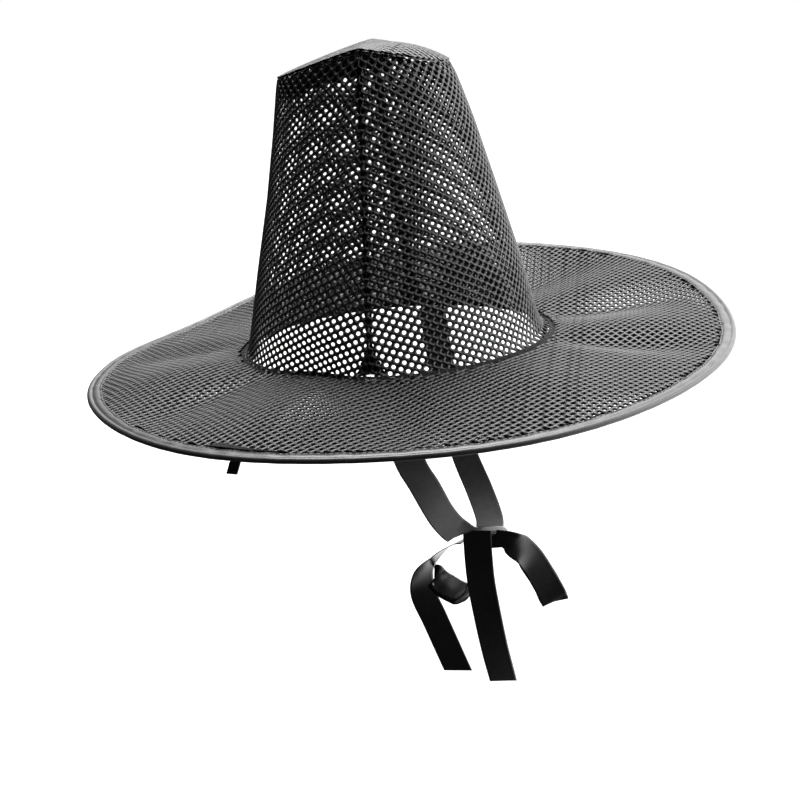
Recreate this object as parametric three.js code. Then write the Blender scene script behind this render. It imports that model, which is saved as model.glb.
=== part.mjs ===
// Costume hat of black mesh cloth: a tall tapering crown with a gabled top,
// a wide waved brim with a bound edge, and a satin ribbon tied in a bow under the chin.
// Millimetres. +Z runs up the crown, -Y is the wearer's front, -X the wearer's right.
// The origin is the middle of the opening that sits on the head.

import * as THREE from "three";

// Driving sizes
const CLOTH = 1.4;
const GAP = 0.3;
const CROWN_HEIGHT = 181;
const TOP_TWIST = THREE.MathUtils.degToRad(5);
const BRIM_RADIUS = 200;
const BRIM_FORWARD = 9;
const BRIM_THICK = 1.8;
const BINDING_WIDTH = 9;
const BINDING_THICK = 2.2;
const BEAD_RADIUS = 1.7;
const RIBBON_WIDTH = 18;
const RIBBON_THICK = 1;

// Half widths of the crown from foot to top: to the sides, to the front, to the back
const CROWN_SECTIONS = [
  { height: 0, side: 88, front: 99.5, back: 95 },
  { height: 3, side: 86, front: 93.5, back: 92 },
  { height: 12, side: 84, front: 90.3, back: 89.5 },
  { height: 49, side: 75.5, front: 82.2, back: 80.6 },
  { height: 96, side: 65, front: 70, back: 68.5 },
  { height: 133, side: 56, front: 60.2, back: 60.5 },
  { height: 151, side: 52, front: 54.6, back: 57 },
  { height: 160, side: 50, front: 51.6, back: 55.3 },
  { height: 170, side: 47.5, front: 46.6, back: 52.8 },
  { height: 181, side: 45, front: 43, back: 50 },
];

// Fall of the top from its ridge: rounded to the front, nearly straight to the back
const TOP_FALL = {
  front: { drop: 13.5, power: 2.4 },
  back: { drop: 14.5, power: 1.3 },
};

// The crown's foot is pushed in behind the right seam
const FOOT_DENT = { angle: 157, depth: 8, spread: 15, height: 26 };

// Height of the brim's edge round the hat, counter-clockwise from the wearer's left
const RIM_HEIGHTS = [
  { angle: 0, height: 16 },
  { angle: 30, height: 6 },
  { angle: 60, height: -10 },
  { angle: 90, height: -8 },
  { angle: 120, height: -5 },
  { angle: 150, height: -6 },
  { angle: 180, height: -5 },
  { angle: 210, height: -6 },
  { angle: 240, height: -4 },
  { angle: 270, height: -1 },
  { angle: 300, height: 9 },
  { angle: 330, height: 14 },
];

// Shallow folds that run outward across the brim
const BRIM_FOLDS = [
  { angle: 326, depth: -4, spread: 9 },
  { angle: 308, depth: 2, spread: 8 },
  { angle: 290, depth: -4, spread: 7 },
  { angle: 272, depth: 2.5, spread: 8 },
  { angle: 257, depth: -3.5, spread: 6 },
  { angle: 222, depth: 2, spread: 12 },
  { angle: 188, depth: -3, spread: 7 },
  { angle: 160, depth: 2, spread: 8 },
  { angle: 136, depth: -3.5, spread: 8 },
  { angle: 112, depth: 2, spread: 8 },
  { angle: 90, depth: -3, spread: 8 },
  { angle: 40, depth: 2.5, spread: 12 },
  { angle: 8, depth: -3, spread: 9 },
];

// Strip of allowance behind each side seam, spread into a foot at the base
const SEAM_STRIP = { halfWidth: 2.4, footHalfWidth: 11, footHeight: 30, thick: 1.2, bottom: 3 };

// Ribbon routes: middle of the ribbon and the direction that its width takes
const STRAP_RIGHT_ROUTE = [
  { x: -87.5, y: -12, z: -2.3, wx: 0, wy: 1, wz: 0 },
  { x: -85.5, y: -13.5, z: -28, wx: -0.1, wy: 1, wz: 0 },
  { x: -80, y: -17.5, z: -53, wx: -0.2, wy: 1, wz: 0 },
  { x: -68, y: -22.5, z: -73, wx: -0.4, wy: 0.9, wz: 0.1 },
  { x: -54, y: -28, z: -96.5, wx: -0.6, wy: 0.75, wz: 0 },
  { x: -43, y: -32.5, z: -110.5, wx: -0.6, wy: 0.75, wz: -0.1 },
  { x: -36.5, y: -36, z: -117, wx: -0.5, wy: 0.8, wz: -0.2 },
  { x: -27.5, y: -39, z: -121.5, wx: -0.2, wy: 0.95, wz: -0.25 },
];
const STRAP_LEFT_ROUTE = [
  { x: 87.5, y: -12, z: -2.3, wx: 0, wy: 1, wz: 0 },
  { x: 85.5, y: -14, z: -28, wx: 0, wy: 1, wz: 0 },
  { x: 80, y: -17.5, z: -53, wx: 0, wy: 1, wz: 0 },
  { x: 68, y: -24, z: -76, wx: 0, wy: 1, wz: -0.2 },
  { x: 52, y: -31, z: -98, wx: 0, wy: 1, wz: -0.3 },
  { x: 31, y: -42, z: -116, wx: 0, wy: 1, wz: -0.2 },
  { x: 8, y: -50, z: -126, wx: 0, wy: 1, wz: 0 },
  { x: -10, y: -52, z: -128, wx: 0, wy: 1, wz: 0 },
];
const TAIL_FRONT_ROUTE = [
  { x: -26, y: -46, z: -120.5, wx: 0, wy: 1, wz: 0.1 },
  { x: -26, y: -45.5, z: -130, wx: 0, wy: 1, wz: 0.2 },
  { x: -24.5, y: -45.5, z: -154, wx: -0.25, wy: 0.9, wz: 0.35 },
  { x: -22, y: -47, z: -177, wx: -0.25, wy: 0.95, wz: 0.25 },
  { x: -21, y: -50.5, z: -207, wx: -0.35, wy: 0.9, wz: 0.2 },
  { x: -20, y: -54.5, z: -232, wx: -0.45, wy: 0.85, wz: 0.25 },
];
const TAIL_BACK_ROUTE = [
  { x: -12, y: -39, z: -131, wx: -1, wy: 0, wz: 0.2 },
  { x: -3, y: -31, z: -138, wx: -0.95, wy: 0.1, wz: 0.3 },
  { x: 10, y: -15, z: -152, wx: -0.9, wy: 0, wz: 0.4 },
  { x: 20, y: -1, z: -170, wx: -0.75, wy: 0.45, wz: 0.4 },
  { x: 23, y: 1.5, z: -188, wx: -0.4, wy: 0.9, wz: 0.2 },
  { x: 21.5, y: -5, z: -207, wx: -0.15, wy: 1, wz: 0.1 },
  { x: 20.5, y: -11.5, z: -226, wx: -0.15, wy: 1, wz: 0 },
  { x: 20, y: -18.5, z: -247, wx: -0.15, wy: 1, wz: 0 },
];
const LOOP_FRONT_ROUTE = [
  { x: -25.8, y: -65, z: -128, wx: 0, wy: -0.7, wz: 0.7 },
  { x: -24.5, y: -70, z: -132.5, wx: 0.3, wy: -0.7, wz: 0.6 },
  { x: -22, y: -75, z: -137, wx: 0.6, wy: -0.7, wz: 0.33 },
  { x: -19, y: -81.7, z: -147, wx: 0.89, wy: -0.44, wz: -0.08 },
  { x: -18.5, y: -88.9, z: -160.5, wx: 0.89, wy: -0.41, wz: -0.21 },
  { x: -18, y: -92, z: -171, wx: 0.76, wy: -0.63, wz: -0.12 },
  { x: -16.5, y: -91.5, z: -176, wx: 0.73, wy: -0.68, wz: 0 },
  { x: -15.1, y: -88.3, z: -172.7, wx: 0.76, wy: -0.63, wz: -0.12 },
  { x: -16.6, y: -83.9, z: -161.9, wx: 0.89, wy: -0.41, wz: -0.21 },
  { x: -16.6, y: -76.5, z: -148.8, wx: 0.89, wy: -0.44, wz: -0.08 },
  { x: -16.9, y: -75, z: -139.8, wx: 0.4, wy: -0.72, wz: 0.45 },
  { x: -16.5, y: -73, z: -130.8, wx: 0, wy: -0.74, wz: 0.67 },
];
const LOOP_BACK_ROUTE = [
  { x: -17.5, y: -48, z: -135.2, wx: -0.6, wy: 0.75, wz: 0 },
  { x: -14, y: -46.5, z: -146, wx: -0.9, wy: 0.3, wz: 0 },
  { x: -7, y: -41, z: -165, wx: -0.97, wy: 0.2, wz: 0.1 },
  { x: 1, y: -35, z: -179, wx: -0.95, wy: 0.2, wz: 0.2 },
  { x: 7, y: -27, z: -183, wx: -0.95, wy: 0, wz: -0.2 },
  { x: 13, y: -17, z: -180.5, wx: -0.9, wy: -0.05, wz: -0.43 },
  { x: 17.5, y: -9.5, z: -176, wx: -0.87, wy: -0.07, wz: -0.49 },
  { x: 17, y: -9, z: -173.5, wx: -0.87, wy: -0.07, wz: -0.49 },
  { x: 13, y: -16, z: -176.8, wx: -0.9, wy: -0.05, wz: -0.43 },
  { x: 7, y: -26.5, z: -179.3, wx: -0.95, wy: 0, wz: -0.2 },
  { x: 1, y: -32.5, z: -176, wx: -0.95, wy: 0.2, wz: 0.2 },
  { x: -5, y: -38, z: -163, wx: -0.97, wy: 0.2, wz: 0.1 },
  { x: -12, y: -43.5, z: -146, wx: -0.9, wy: 0.3, wz: 0 },
  { x: -15, y: -44.7, z: -135.2, wx: -0.6, wy: 0.75, wz: 0 },
];
const KNOT = { x: -18, y: -52, z: -129, halfX: 7.2, halfY: 12.5, halfZ: 5.8 };

// Loose end of the binding that hangs below the edge on the wearer's right
const BINDING_END = { angle: 161.9, slant: 0.9, width: 6.5, length: 6.8, thick: 1.1 };

const toRadians = THREE.MathUtils.degToRad;

// Materials
function clothMaterial(name, color, roughness) {
  return new THREE.MeshStandardMaterial({ name, color, roughness, metalness: 0 });
}
const meshCloth = clothMaterial("mesh_cloth", "#171717", 0.6);
const bindingTape = clothMaterial("binding_tape", "#3a3a3b", 0.45);
const satinRibbon = clothMaterial("satin_ribbon", "#131314", 0.4);

// Value between the rows of a table, on straight lines
function fromTable(rows, key, at, column) {
  const last = rows.length - 1;
  if (at <= rows[0][key]) return rows[0][column];
  if (at >= rows[last][key]) return rows[last][column];
  const upper = rows.findIndex((row) => row[key] >= at);
  const low = rows[upper - 1];
  const high = rows[upper];
  const share = (at - low[key]) / (high[key] - low[key]);
  return low[column] + share * (high[column] - low[column]);
}

// Difference of two angles in degrees, between -180 and 180
function angleBetween(first, second) {
  return ((((first - second) % 360) + 540) % 360) - 180;
}

// Bell curve over the angle, 1 at its middle
function bell(angle, middle, spread) {
  return Math.exp(-((angleBetween(angle, middle) / spread) ** 2));
}

// Height of the brim's edge, eased between the rows of its table
function rimHeight(angle) {
  const step = 360 / RIM_HEIGHTS.length;
  const turn = (((angle % 360) + 360) % 360) / step;
  const index = Math.floor(turn);
  const share = turn - index;
  const at = (offset) => RIM_HEIGHTS[(index + offset + RIM_HEIGHTS.length) % RIM_HEIGHTS.length].height;
  const slopeHere = (at(1) - at(-1)) / 2;
  const slopeNext = (at(2) - at(0)) / 2;
  const square = share * share;
  const cube = square * share;
  return (
    (2 * cube - 3 * square + 1) * at(0) +
    (cube - 2 * square + share) * slopeHere +
    (3 * square - 2 * cube) * at(1) +
    (cube - square) * slopeNext
  );
}

// Height at which the crown's side meets its top: high over the side seams
function topEdgeHeight(angle) {
  return CROWN_HEIGHT - CLOTH - GAP - topFall(angle, 1);
}

// Fall of the top at a share of the way from its middle to its edge
function topFall(angle, share) {
  const across = Math.sin(toRadians(angle));
  const side = across < 0 ? TOP_FALL.front : TOP_FALL.back;
  return side.drop * Math.abs(across) ** 1.15 * share ** side.power;
}

// Point on the crown's side, or inside it by the given depth
function crownPoint(angle, height, depth) {
  const side = fromTable(CROWN_SECTIONS, "height", height, "side");
  const isFront = Math.sin(toRadians(angle)) < 0;
  const along = fromTable(CROWN_SECTIONS, "height", height, isFront ? "front" : "back");
  const fade = Math.max(0, 1 - height / FOOT_DENT.height);
  const dent = FOOT_DENT.depth * fade * bell(angle, FOOT_DENT.angle, FOOT_DENT.spread);
  const turned = toRadians(angle);
  const twist = TOP_TWIST * Math.max(0, height / CROWN_HEIGHT) ** 1.5;
  const x = (side - dent - depth) * Math.cos(turned);
  const y = (along - dent - depth) * Math.sin(turned);
  return new THREE.Vector3(
    x * Math.cos(twist) - y * Math.sin(twist),
    x * Math.sin(twist) + y * Math.cos(twist),
    height,
  );
}

// Point of the brim: share runs from the crown's foot (0) to the edge (1)
function brimPoint(angle, share, edgeInset, lift) {
  const inner = crownPoint(angle, 0, -1.5);
  const turned = toRadians(angle);
  const reach = BRIM_RADIUS - edgeInset;
  const outerX = reach * Math.cos(turned);
  const outerY = reach * Math.sin(turned) - BRIM_FORWARD;
  const rise = rimHeight(angle) * share ** 1.3;
  const belly = Math.sin(Math.PI * share) ** 0.8;
  const folds = BRIM_FOLDS.reduce((sum, fold) => sum + fold.depth * bell(angle, fold.angle, fold.spread), 0);
  return new THREE.Vector3(
    inner.x + (outerX - inner.x) * share,
    inner.y + (outerY - inner.y) * share,
    rise + (share < 1 ? folds * belly : 0) + lift,
  );
}

// Closed body from corner points and faces, turned so that it faces outward
function closedBody(points, faces) {
  const volume = faces.reduce((sum, [a, b, c]) => {
    const cross = new THREE.Vector3().crossVectors(points[b], points[c]);
    return sum + points[a].dot(cross);
  }, 0);
  const indices = faces.flatMap(([a, b, c]) => (volume > 0 ? [a, b, c] : [a, c, b]));
  const geometry = new THREE.BufferGeometry();
  const coordinates = points.flatMap((point) => [point.x, point.y, point.z]);
  geometry.setAttribute("position", new THREE.Float32BufferAttribute(coordinates, 3));
  geometry.setIndex(indices);
  geometry.computeVertexNormals();
  return geometry;
}

// Sheet with two faces: columns run along it, rows across it
function sheetBody(columns, rows, isRing, faceA, faceB) {
  const points = [];
  const faces = [];
  const columnCount = isRing ? columns : columns + 1;
  const stride = rows + 1;
  for (const face of [faceA, faceB]) {
    for (let column = 0; column < columnCount; column += 1) {
      for (let row = 0; row <= rows; row += 1) {
        points.push(face(column / columns, row / rows));
      }
    }
  }
  const half = columnCount * stride;
  const place = (side, column, row) => side * half + (column % columnCount) * stride + row;
  const quad = (a, b, c, d) => faces.push([a, b, c], [a, c, d]);
  for (let column = 0; column < columns; column += 1) {
    const next = column + 1;
    for (let row = 0; row < rows; row += 1) {
      quad(place(0, column, row), place(0, next, row), place(0, next, row + 1), place(0, column, row + 1));
      quad(place(1, column, row + 1), place(1, next, row + 1), place(1, next, row), place(1, column, row));
    }
    quad(place(1, column, 0), place(1, next, 0), place(0, next, 0), place(0, column, 0));
    quad(place(0, column, rows), place(0, next, rows), place(1, next, rows), place(1, column, rows));
  }
  if (!isRing) {
    for (let row = 0; row < rows; row += 1) {
      quad(place(0, 0, row), place(0, 0, row + 1), place(1, 0, row + 1), place(1, 0, row));
      quad(place(1, columns, row), place(1, columns, row + 1), place(0, columns, row + 1), place(0, columns, row));
    }
  }
  return closedBody(points, faces);
}

// Ring whose cross-section, a closed loop of points, follows the angle
function hoopBody(columns, sectionAt) {
  const points = [];
  const faces = [];
  const size = sectionAt(0).length;
  for (let column = 0; column < columns; column += 1) {
    points.push(...sectionAt((360 * column) / columns));
  }
  for (let column = 0; column < columns; column += 1) {
    const next = (column + 1) % columns;
    for (let corner = 0; corner < size; corner += 1) {
      const after = (corner + 1) % size;
      const a = column * size + corner;
      const b = next * size + corner;
      const c = next * size + after;
      const d = column * size + after;
      faces.push([a, b, c], [a, c, d]);
    }
  }
  return closedBody(points, faces);
}

// Disc from rings of points, closed by one point at each end
function discBody(rings) {
  const points = rings.flat();
  const faces = [];
  const size = rings[0].length;
  for (let ring = 0; ring + 1 < rings.length; ring += 1) {
    for (let corner = 0; corner < size; corner += 1) {
      const after = (corner + 1) % size;
      const a = ring * size + corner;
      const b = (ring + 1) * size + corner;
      const c = (ring + 1) * size + after;
      const d = ring * size + after;
      faces.push([a, b, c], [a, c, d]);
    }
  }
  const middleOf = (ring) => ring.reduce((sum, p) => sum.add(p), new THREE.Vector3()).divideScalar(size);
  const first = points.push(middleOf(rings[0])) - 1;
  const last = points.push(middleOf(rings[rings.length - 1])) - 1;
  const lastStart = (rings.length - 1) * size;
  for (let corner = 0; corner < size; corner += 1) {
    const after = (corner + 1) % size;
    faces.push([first, corner, after], [last, lastStart + after, lastStart + corner]);
  }
  return closedBody(points, faces);
}

function named(name, geometry, material) {
  const mesh = new THREE.Mesh(geometry, material);
  mesh.name = name;
  return mesh;
}

// One half of the crown's side, from one side seam to the other
function crownPanel(name, fromAngle, toAngle) {
  const bottom = 1.8;
  const seamAngle = 0.12;
  const span = toAngle - fromAngle - 2 * seamAngle;
  const face = (depth) => (along, up) => {
    const angle = fromAngle + seamAngle + span * along;
    const height = bottom + (topEdgeHeight(angle) - bottom) * up ** 1.1;
    return crownPoint(angle, height, depth);
  };
  return named(name, sheetBody(32, 11, false, face(0), face(CLOTH)), meshCloth);
}

// Gabled top piece: its ridge runs from one side seam to the other
function crownTop() {
  const corners = 48;
  const ring = (share, lift) => {
    const loop = [];
    for (let corner = 0; corner < corners; corner += 1) {
      const angle = (360 * corner) / corners;
      const rim = crownPoint(angle, topEdgeHeight(angle), 0);
      const height = CROWN_HEIGHT - CLOTH - topFall(angle, share) + lift;
      loop.push(new THREE.Vector3(rim.x * share, rim.y * share, height));
    }
    return loop;
  };
  const shares = [0.25, 0.5, 0.7, 0.86, 1];
  const upper = shares.map((share) => ring(share, CLOTH));
  const lower = shares.map((share) => ring(share, 0)).reverse();
  return named("crown_top", discBody([...upper, ...lower]), meshCloth);
}

// Allowance strip behind a side seam
function sideSeam(name, seamAngle) {
  const top = topEdgeHeight(seamAngle) - 2;
  const face = (depth) => (up, across) => {
    const height = SEAM_STRIP.bottom + (top - SEAM_STRIP.bottom) * up ** 1.6;
    const foot = Math.max(0, 1 - height / SEAM_STRIP.footHeight) ** 1.4;
    const halfWidth = SEAM_STRIP.halfWidth + (SEAM_STRIP.footHalfWidth - SEAM_STRIP.halfWidth) * foot;
    const radius = fromTable(CROWN_SECTIONS, "height", height, "back");
    const swing = THREE.MathUtils.radToDeg(halfWidth / radius) * (2 * across - 1);
    return crownPoint(seamAngle + swing, height, depth);
  };
  const start = CLOTH + GAP + 0.1;
  return named(name, sheetBody(24, 4, false, face(start), face(start + SEAM_STRIP.thick)), meshCloth);
}

// Sewn joint between crown and brim
function baseSeam() {
  const section = (angle) => {
    const corner = (depth, height) => {
      const point = crownPoint(angle, 0, depth);
      return point.setZ(height);
    };
    return [corner(2.6, -1.2), corner(-1.1, -1.2), corner(-1.1, 0.9), corner(0, 1.4), corner(2.6, 1.4)];
  };
  return named("base_seam", hoopBody(64, section), meshCloth);
}

// Brim of two layers of mesh cloth, up to the binding
function brim() {
  const inset = BINDING_WIDTH + GAP;
  const face = (lift) => (turn, share) => brimPoint(360 * turn, share, inset, lift);
  return named("brim", sheetBody(90, 5, true, face(BRIM_THICK / 2), face(-BRIM_THICK / 2)), meshCloth);
}

// Binding round the edge with a bead where it turns over the wire
function brimBinding() {
  const half = BINDING_THICK / 2;
  const beadSteps = 6;
  const section = (angle) => {
    const spot = (inset, height) => brimPoint(angle, 1, inset, height);
    const loop = [spot(BINDING_WIDTH, half), spot(2 * BEAD_RADIUS + 0.6, half)];
    for (let step = 0; step <= beadSteps; step += 1) {
      const turn = toRadians(130 - (260 * step) / beadSteps);
      loop.push(spot(BEAD_RADIUS * (1 - Math.cos(turn)), BEAD_RADIUS * Math.sin(turn)));
    }
    loop.push(spot(2 * BEAD_RADIUS + 0.6, -half), spot(BINDING_WIDTH, -half));
    return loop;
  };
  return named("brim_binding", hoopBody(90, section), bindingTape);
}

// Loose end of the binding tape
function bindingEnd() {
  const halfTurn = THREE.MathUtils.radToDeg(BINDING_END.width / 2 / BRIM_RADIUS);
  const face = (inset) => (along, down) => {
    const angle = BINDING_END.angle + halfTurn * (2 * along - 1) - BINDING_END.slant * down;
    return brimPoint(angle, 1, inset, -BEAD_RADIUS - GAP - BINDING_END.length * down);
  };
  const outer = 1.2;
  const geometry = sheetBody(3, 2, false, face(outer), face(outer + BINDING_END.thick));
  return named("binding_end", geometry, bindingTape);
}

// Flat ribbon along a route
function ribbon(name, route, columns) {
  const middle = new THREE.CatmullRomCurve3(route.map((row) => new THREE.Vector3(row.x, row.y, row.z)));
  const widths = new THREE.CatmullRomCurve3(route.map((row) => new THREE.Vector3(row.wx, row.wy, row.wz)));
  const face = (side) => (along, across) => {
    const point = middle.getPoint(along);
    const tangent = middle.getTangent(along);
    const width = widths.getPoint(along);
    width.addScaledVector(tangent, -width.dot(tangent)).normalize();
    const normal = new THREE.Vector3().crossVectors(tangent, width);
    point.addScaledVector(width, RIBBON_WIDTH * (across - 0.5));
    return point.addScaledVector(normal, (side * RIBBON_THICK) / 2);
  };
  return named(name, sheetBody(columns, 2, false, face(1), face(-1)), satinRibbon);
}

// Knot of the bow: a flat, boxy lump with rounded sides
function bowKnot() {
  const corners = 18;
  const levels = 6;
  const squared = (value) => Math.sign(value) * Math.sqrt(Math.abs(value));
  const rings = [];
  for (let level = 0; level <= levels; level += 1) {
    const rise = toRadians(-80 + (160 * level) / levels);
    const ring = [];
    for (let corner = 0; corner < corners; corner += 1) {
      const turn = (2 * Math.PI * corner) / corners;
      const spread = squared(Math.cos(rise));
      const x = KNOT.halfX * squared(Math.cos(turn)) * spread;
      const y = KNOT.halfY * squared(Math.sin(turn)) * spread;
      ring.push(new THREE.Vector3(x, y, KNOT.halfZ * squared(Math.sin(rise))));
    }
    rings.push(ring);
  }
  const mesh = named("bow_knot", discBody(rings), satinRibbon);
  mesh.position.set(KNOT.x, KNOT.y, KNOT.z);
  return mesh;
}

const hat = new THREE.Group();
hat.name = "costume_hat";
hat.add(crownPanel("crown_front", 180, 360));
hat.add(crownPanel("crown_back", 0, 180));
hat.add(crownTop());
hat.add(sideSeam("side_seam_left", 0));
hat.add(sideSeam("side_seam_right", 180));
hat.add(baseSeam());
hat.add(brim());
hat.add(brimBinding());
hat.add(bindingEnd());
hat.add(ribbon("strap_right", STRAP_RIGHT_ROUTE, 20));
hat.add(ribbon("strap_left", STRAP_LEFT_ROUTE, 24));
hat.add(bowKnot());
hat.add(ribbon("bow_loop_front", LOOP_FRONT_ROUTE, 28));
hat.add(ribbon("bow_loop_back", LOOP_BACK_ROUTE, 36));
hat.add(ribbon("bow_tail_front", TAIL_FRONT_ROUTE, 14));
hat.add(ribbon("bow_tail_back", TAIL_BACK_ROUTE, 22));

export default hat;
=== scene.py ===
"""Looks of a costume hat of black mesh cloth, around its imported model.

The scene is in metres and the sizes here are in millimetres, where no other unit is named.
+Z runs up the crown, -Y is the wearer's front, -X the wearer's right.
Angles run in degrees round the crown, counter-clockwise from the wearer's left.
"""

import math

import bpy
import numpy as np
from mathutils import Matrix, Vector


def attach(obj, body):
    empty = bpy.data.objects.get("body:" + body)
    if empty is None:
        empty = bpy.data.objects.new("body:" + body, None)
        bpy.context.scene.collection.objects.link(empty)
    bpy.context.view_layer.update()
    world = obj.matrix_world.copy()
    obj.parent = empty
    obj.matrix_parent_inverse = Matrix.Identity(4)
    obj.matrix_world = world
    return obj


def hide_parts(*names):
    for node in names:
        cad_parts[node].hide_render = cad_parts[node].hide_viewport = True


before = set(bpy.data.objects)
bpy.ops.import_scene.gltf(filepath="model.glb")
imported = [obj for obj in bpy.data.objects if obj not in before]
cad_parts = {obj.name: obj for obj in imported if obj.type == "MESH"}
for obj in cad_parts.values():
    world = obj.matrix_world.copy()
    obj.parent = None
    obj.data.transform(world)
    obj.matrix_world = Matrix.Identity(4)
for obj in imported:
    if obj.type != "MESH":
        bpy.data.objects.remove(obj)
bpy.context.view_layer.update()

MM = 0.001

# Driving sizes
CLOTH = 1.4
CROWN_HEIGHT = 181.0
TOP_TWIST = math.radians(5)
TWIST_POWER = 1.5
BRIM_RADIUS = 200.0
BRIM_FORWARD = 9.0
BINDING_WIDTH = 9.0
BEAD_RADIUS = 1.7
RIBBON_WIDTH = 18.0
RIBBON_THICK = 0.45

# Half widths of the crown from foot to top: height, side, front, back
CROWN_SECTIONS = np.array([
    (0, 88, 99.5, 95),
    (3, 86, 93.5, 92),
    (12, 84, 90.3, 89.5),
    (49, 75.5, 82.2, 80.6),
    (96, 65, 70, 68.5),
    (133, 56, 60.2, 60.5),
    (151, 52, 54.6, 57),
    (160, 50, 51.6, 55.3),
    (170, 47.5, 46.6, 52.8),
    (181, 45, 43, 50),
], float)
HEIGHT, SIDE, FRONT, BACK = range(4)

# Fall of the top from its ridge: rounded to the front, nearly straight to the back
FRONT_DROP = 13.5
FRONT_POWER = 2.4
BACK_DROP = 14.5
BACK_POWER = 1.3
FALL_ROUND = 1.15

# The crown's foot is pushed in behind the right seam
FOOT_DENT = {"angle": 157.0, "depth": 8.0, "spread": 15.0, "height": 26.0}

# The brim's inner line runs this far outside the crown's foot
BRIM_START = 1.5
RISE_POWER = 1.3
FOLD_POWER = 0.8

# Height of the brim's edge at even angles
RIM_HEIGHTS = np.array([16, 6, -10, -8, -5, -6, -5, -6, -4, -1, 9, 14], float)

# Shallow folds across the brim: angle, depth, spread
BRIM_FOLDS = [
    (326, -4, 9),
    (308, 2, 8),
    (290, -4, 7),
    (272, 2.5, 8),
    (257, -3.5, 6),
    (222, 2, 12),
    (188, -3, 7),
    (160, 2, 8),
    (136, -3.5, 8),
    (112, 2, 8),
    (90, -3, 8),
    (40, 2.5, 12),
    (8, -3, 9),
]

# Netting: holes stand in a lattice of rhombi, wider than high
NET_ACROSS = 6.5
NET_ALONG = 5.4
HOLE_RADIUS = 1.2
THREAD_HALF = 0.75
BRIM_HOLE_RADIUS = 0.88
BRIM_THREAD_HALF = 0.8
TOP_HOLE_RADIUS = 1.45

# Depth of the netting's middle inside the crown's outer face, and height of its lowest row
NET_DEPTH = 0.6
NET_FOOT = 0.3

# Shares of the way over the brim, and across half a crown panel, that cells of netting fill
BRIM_NET_START = 0.003
BRIM_NET_END = 1.002
PANEL_NET_END = 1.005

# The brim's two layers lie this far above and below its middle, their grain a little apart
LAYER_LIFT = 0.7
LOWER_GRAIN_TURN = 0.03
LOWER_GRAIN_SHIFT = (1.6, 1.3)

# Crown panels: name, solid that it stands for, angle of its middle
PANELS = [
    ("front_netting", "crown_front", 270),
    ("back_netting", "crown_back", 90),
]

# Flat pattern of a crown panel: a piece of a cone
FOOT_RADIUS = 90.0
TOP_RADIUS = 48.0
SLANT = math.hypot(CROWN_HEIGHT, FOOT_RADIUS - TOP_RADIUS)
APEX = SLANT * FOOT_RADIUS / (FOOT_RADIUS - TOP_RADIUS)
PANEL_HALF = math.pi * FOOT_RADIUS / APEX / 2

# Turned-in seam under the top's edge: name, start angle, end angle, height, layer from outside
ALLOWANCES = [
    ("top_allowance_outer", 2, 182, 11.5, 0),
    ("top_allowance_inner", 2, 178, 9, 1),
    ("top_allowance_near", 182, 203, 10, 0),
    ("top_allowance_far", 337, 358, 10, 0),
]
ALLOWANCE_START = 0.8
ALLOWANCE_DEPTH = 1.9
ALLOWANCE_STEP = 1.1
ALLOWANCE_THICK = 0.5

# Turned-in cloth behind the side seams: name, solid that it stands for, angle, half width
SEAM_STRIPS = [
    ("left_seam", "side_seam_left", 0.0, 3.2),
    ("right_seam", "side_seam_right", 180.0, 2.0),
]
SEAM_START = 3.0
SEAM_END_GAP = 2.0
SEAM_DEPTH = 2.1
SEAM_HALF_THICK = 0.35
SEAM_FOOT = {"height": 22.0, "half": 9.4, "power": 1.7}

# Sewn joint between crown and brim: depth inside the crown's side, height
JOINT_SECTION = [
    (2.4, -1.1),
    (-2.9, -1.1),
    (-3.0, -0.4),
    (-1.4, 0.3),
    (1.3, 0.7),
    (1.4, 2.4),
    (2.1, 2.5),
    (2.4, 0.3),
]
JOINT_WAVES = [(0.1, 53, 0), (0.08, 91, 0)]

# Binding tape: share of its width from the bead, height
TAPE_PROFILE = [
    (1.0, 0.95),
    (0.965, 1.35),
    (0.87, 1.4),
    (0.8, 1.12),
    (0.73, 1.38),
    (0.55, 1.62),
    (0.35, 1.66),
    (0.2, 1.5),
    (0.08, 1.2),
    (0.0, 1.05),
]
TAPE_START = 3.3
TAPE_SEWN_SHARE = 0.8
TAPE_WAVES = [(0.25, 23, 0), (0.15, 41, 2)]
TAPE_RIPPLE = [(0.12, 61, 0), (0.08, 97, 1)]
TAPE_CAUGHT = {"angle": 327.0, "depth": 2.2, "spread": 9.0}

# Fold where the tape stands open beside its loose end, filled with a strip of painted shade, on a
# brim of this depth
TAPE_OPENING = {"start": 155.5, "end": 168.5, "width": 5.0, "lift": 2.4, "thick": 0.6}
BRIM_DEPTH = 103.0

# Rows of stitches: how many, length in degrees, thread radius, height
TAPE_STITCH = {"count": 360, "length": 0.68, "radius": 0.22, "height": 1.25}
FOOT_STITCH = {"count": 150, "length": 1.6, "radius": 0.28, "height": 1.35}
FOOT_STITCH_SHARE = 0.05

# Knot of the bow: its middle and half sizes, and the pleats round it
KNOT = {"x": -18.0, "y": -52.0, "z": -129.0, "half_x": 7.2, "half_y": 12.5, "half_z": 5.8}
KNOT_PLEATS = 9
KNOT_PLEAT_DEPTH = 0.05

# Ribbon: shares of its length that are gathered at its ends, heights of its pleats and ripple
GATHERED_START = 0.12
GATHERED_END = 0.1
PLEAT_HEIGHT = 0.7
RIBBON_RIPPLE = 0.12
RIPPLE_TURNS = 19

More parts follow.
